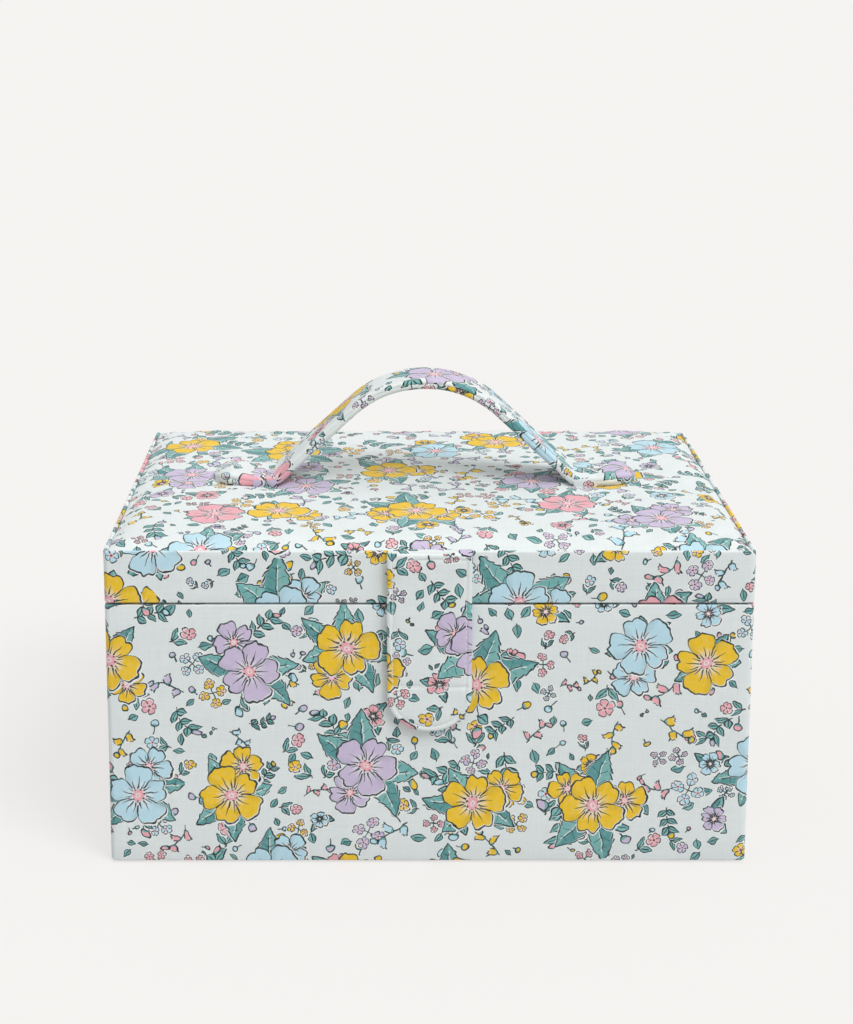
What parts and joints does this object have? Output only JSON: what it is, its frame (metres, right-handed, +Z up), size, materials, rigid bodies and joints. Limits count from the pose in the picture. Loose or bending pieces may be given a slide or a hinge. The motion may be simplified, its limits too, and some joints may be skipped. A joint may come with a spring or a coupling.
{
  "type": "sewing box",
  "caption": "Cloth-covered sewing box with a padded hinged lid, a strap handle, a magnetic closure tab and a lift-out tray with compartments.",
  "frame": {"origin": "middle of the box's flat underside", "axes": "+Z up, -Y to the front where the closure tab hangs, +X to the right along the width"},
  "size_m": [0.26, 0.1946, 0.1833],
  "materials": {
    "printed_cotton": "matte",
    "plain_lining": "matte",
    "greyboard": "matte",
    "foam": "matte",
    "magnet_steel": "satin",
    "tray_plastic": "satin",
    "strip_plastic": "matte"
  },
  "bodies": {
    "body": {"body_base_board": "greyboard", "body_front_board": "greyboard", "body_back_board": "greyboard", "body_left_board": "greyboard", "body_right_board": "greyboard", "body_magnet": "magnet_steel", "body_cover_cloth": "printed_cotton", "body_lining_cloth": "plain_lining", "base_cloth": "plain_lining", "tray_panel_left": "plain_lining", "tray_panel_right": "plain_lining", "floor_pad": "plain_lining", "hinge_cloth_lower": "printed_cotton", "inner_hinge_lower": "plain_lining"},
    "lid": {"lid_top_board": "greyboard", "lid_front_board": "greyboard", "lid_back_board": "greyboard", "lid_left_board": "greyboard", "lid_right_board": "greyboard", "lid_foam_pad": "foam", "lid_cover_cloth": "printed_cotton", "lid_lining_cloth": "plain_lining", "lid_lining_panel": "plain_lining", "hinge_cloth_upper": "printed_cotton", "inner_hinge_upper": "plain_lining", "handle_cover_cloth": "printed_cotton", "handle_under_cloth": "printed_cotton", "handle_core": "strip_plastic", "handle_loop_left": "printed_cotton", "handle_loop_right": "printed_cotton"},
    "closure_tab": {"tab_face_cloth": "printed_cotton", "tab_card": "greyboard", "tab_magnet": "magnet_steel", "tab_back_cloth": "printed_cotton"},
    "tray": {"tray": "tray_plastic"}
  },
  "joints": [
    {"name": "lid_hinge", "type": "hinge", "parent": "body", "child": "lid", "pos_m": [0, 0.0957, 0.111], "axis": [-1, 0, 0], "range_deg": [0, 105]},
    {"name": "tab_fold", "type": "hinge", "parent": "lid", "child": "closure_tab", "pos_m": [0, -0.0969, 0.1327], "axis": [-1, 0, 0], "range_deg": [0, 180]},
    {"name": "tray_lift", "type": "slide", "parent": "body", "child": "tray", "axis": [0, 0, 1], "range_m": [0, 0.007]}
  ]
}
